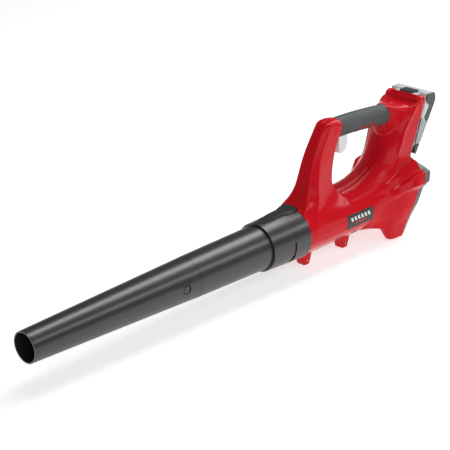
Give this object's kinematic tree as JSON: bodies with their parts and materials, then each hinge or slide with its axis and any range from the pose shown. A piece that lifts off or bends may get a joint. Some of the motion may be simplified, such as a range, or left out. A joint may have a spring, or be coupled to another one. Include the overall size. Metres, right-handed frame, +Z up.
{
  "type": "leaf blower",
  "caption": "Cordless hand-held leaf blower: long tapered air tube on a bayonet collar, axial fan casing, D-shaped handle with trigger, and a slide-in battery on its leaning back.",
  "frame": {"origin": "on the floor, under the middle of the whole tool's box", "axes": "+X is the way the air leaves, along the tube; +Y is the tool's left; +Z is up"},
  "size_m": [0.882, 0.15, 0.2421],
  "materials": {
    "red_casing": "gloss moulded",
    "black_tube": "satin moulded",
    "dark_plastic": "fine texture",
    "grip_rubber": "soft matte",
    "light_plastic": "satin",
    "trigger_plastic": "satin",
    "tray_plastic": "fine texture",
    "badge": "printed film",
    "steel": "zinc plated",
    "motor_steel": "plain",
    "magnet": "sintered",
    "copper": "wound and lacquered",
    "brass": "bright",
    "inner_plastic": "plain",
    "board": "solder mask",
    "wire": "soft",
    "cell": "shrink sleeve",
    "spring_steel": "drawn wire"
  },
  "bodies": {
    "casing": {"case_left": "red_casing", "case_right": "red_casing", "case_screws": "steel", "fan_duct": "inner_plastic", "duct_rings": "grip_rubber", "motor_can": "motor_steel", "motor_end_cap": "inner_plastic", "motor_bearings": "brass", "motor_magnets": "magnet", "motor_fairing": "inner_plastic", "grip_sleeve": "grip_rubber", "grip_pad": "grip_rubber", "trigger_pin": "steel", "switch_body": "inner_plastic", "trigger_spring": "spring_steel", "motor_leads": "wire", "terminal_block": "inner_plastic", "terminal_blades": "brass", "control_board": "board", "battery_leads": "wire", "intake_cover": "dark_plastic", "badge_left": "badge", "badge_right": "badge"},
    "air_tube": {"blower_tube": "black_tube", "nozzle": "black_tube", "nozzle_button_spring": "spring_steel"},
    "nozzle_button": {"nozzle_button": "black_tube"},
    "fan": {"armature": "copper", "motor_shaft": "steel", "impeller": "inner_plastic", "impeller_nut": "brass"},
    "trigger": {"trigger": "trigger_plastic"},
    "plunger": {"switch_plunger": "inner_plastic"},
    "battery": {"battery_case": "light_plastic", "battery_tray": "tray_plastic", "battery_cells": "cell", "release_spring": "spring_steel"},
    "battery_release": {"release_button": "tray_plastic"}
  },
  "joints": [
    {"name": "tube_twist", "type": "hinge", "parent": "casing", "child": "air_tube", "pos_m": [-0.078, 0, 0.066], "axis": [1, 0, 0], "range_deg": [0, 33]},
    {"name": "nozzle_button_press", "type": "slide", "parent": "air_tube", "child": "nozzle_button", "axis": [0, -1, 0], "range_m": [0, 0.0036], "stiffness_N_per_m": 600, "deforming": ["nozzle_button_spring"]},
    {"name": "fan_spin", "type": "hinge", "parent": "casing", "child": "fan", "pos_m": [-0.268, 0, 0.066], "axis": [1, 0, 0], "continuous": true},
    {"name": "trigger_squeeze", "type": "hinge", "parent": "casing", "child": "trigger", "pos_m": [-0.232, 0, 0.229], "axis": [0, 1, 0], "range_deg": [0, 8], "stiffness_Nm_per_rad": 3, "springref_deg": -2.86, "deforming": ["trigger_spring"]},
    {"name": "plunger_press", "type": "slide", "parent": "casing", "child": "plunger", "axis": [-1, 0, 0], "range_m": [0, 0.0015]},
    {"name": "battery_slide", "type": "slide", "parent": "casing", "child": "battery", "axis": [-0.5105, 0, 0.8599], "range_m": [0, 0.09]},
    {"name": "battery_release_press", "type": "slide", "parent": "battery", "child": "battery_release", "axis": [0, 0, -1], "range_m": [0, 0.003], "stiffness_N_per_m": 800, "deforming": ["release_spring"]}
  ],
  "couplings": [
    {"joint": "plunger_press", "follows": "trigger_squeeze", "m_per_rad": 0.01}
  ]
}
